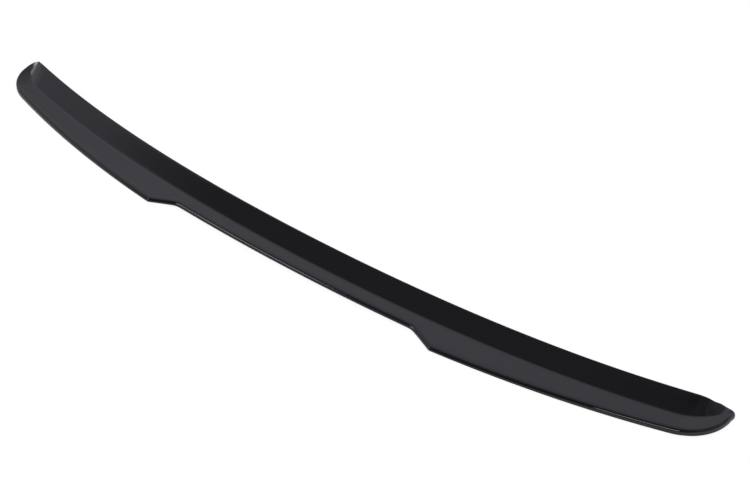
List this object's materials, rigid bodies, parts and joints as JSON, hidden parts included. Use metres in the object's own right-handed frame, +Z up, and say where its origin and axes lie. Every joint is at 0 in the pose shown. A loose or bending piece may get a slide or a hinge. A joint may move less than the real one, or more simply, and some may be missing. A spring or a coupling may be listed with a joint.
{
  "type": "car rear spoiler",
  "caption": "Slim one-piece lip spoiler for a car body: crescent plan, sloping flange with a shallow middle relief, raised lip, tapered ends, hollow underside.",
  "frame": {"origin": "centre of the bounding box in plan, on the plane of the bonding lands", "axes": "+X along the length, +Y from the flange's relieved edge towards the raised lip, +Z up, away from the panel it is bonded to"},
  "size_m": [1.2, 0.137, 0.0298],
  "materials": {
    "gloss_black": "high gloss black, injection moulded ABS, unpainted or lacquered"
  },
  "bodies": {
    "root": {"spoiler": "gloss_black"}
  },
  "joints": []
}
